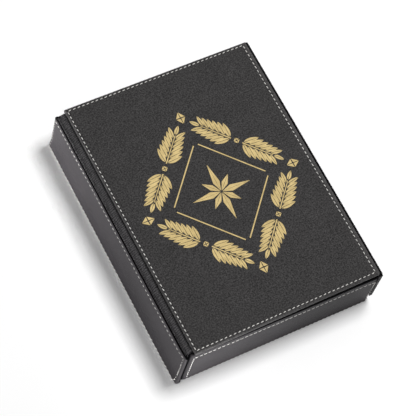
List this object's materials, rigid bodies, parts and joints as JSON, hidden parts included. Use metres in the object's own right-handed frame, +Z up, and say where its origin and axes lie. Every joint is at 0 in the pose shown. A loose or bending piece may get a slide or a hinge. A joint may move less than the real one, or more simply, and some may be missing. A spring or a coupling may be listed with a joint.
{
  "type": "dice storage chest",
  "caption": "Book-shaped leatherette chest with a hinged lid, a magnetic closing flap and lined compartments for dice.",
  "frame": {"origin": "middle of the bounding box's underside, on the surface the chest rests on", "axes": "+Z up, +Y along the spine to the rear wall, +X from the spine to the closing flap; the front wall is on -Y"},
  "size_m": [0.179, 0.2312, 0.053],
  "materials": {
    "lid_leatherette": "fine grained black leatherette, satin",
    "wall_leatherette": "fine grained black leatherette, satin",
    "gutter_leatherette": "coarser grained black leatherette, matte",
    "greyboard": "raw greyboard, matte",
    "foam": "thin foam sheet, matte",
    "lining": "charcoal suede-like lining, matte",
    "magnet": "nickel plated disc magnet",
    "steel": "plain steel disc",
    "thread": "off-white sewing thread",
    "gold_foil": "stamped gold foil, satin"
  },
  "bodies": {
    "tray": {"base_cover": "wall_leatherette", "base_board": "greyboard", "floor_lining": "lining", "front_wall": "greyboard", "rear_wall": "greyboard", "left_wall": "greyboard", "right_wall": "greyboard", "front_lining": "lining", "rear_lining": "lining", "left_lining": "lining", "right_lining": "lining", "tray_wrap": "wall_leatherette", "front_panel_cover": "wall_leatherette", "rear_panel_cover": "wall_leatherette", "front_panel_card": "greyboard", "rear_panel_card": "greyboard", "spine_cover": "wall_leatherette", "spine_board": "greyboard", "hinge_strip_spine_leg": "gutter_leatherette", "steel_disc_1": "steel", "steel_disc_2": "steel", "steel_disc_3": "steel", "long_divider_1": "lining", "long_divider_2": "lining", "cross_divider_1": "lining", "cross_divider_2": "lining", "cross_divider_3": "lining"},
    "lid": {"lid_cover": "lid_leatherette", "lid_pad": "foam", "lid_board": "greyboard", "lid_lining": "lining", "hinge_strip_lid_leg": "gutter_leatherette"},
    "flap": {"flap_cover": "wall_leatherette", "flap_board": "greyboard", "flap_lining": "lining", "flap_crease": "gutter_leatherette", "flap_magnet_1": "magnet", "flap_magnet_2": "magnet", "flap_magnet_3": "magnet"}
  },
  "joints": [
    {"name": "lid_hinge", "type": "hinge", "parent": "tray", "child": "lid", "pos_m": [-0.0865, 0, 0.0486], "axis": [0, -1, 0], "range_deg": [0, 180]},
    {"name": "flap_hinge", "type": "hinge", "parent": "lid", "child": "flap", "pos_m": [0.0868, 0, 0.0503], "axis": [0, -1, 0], "range_deg": [0, 135]}
  ]
}
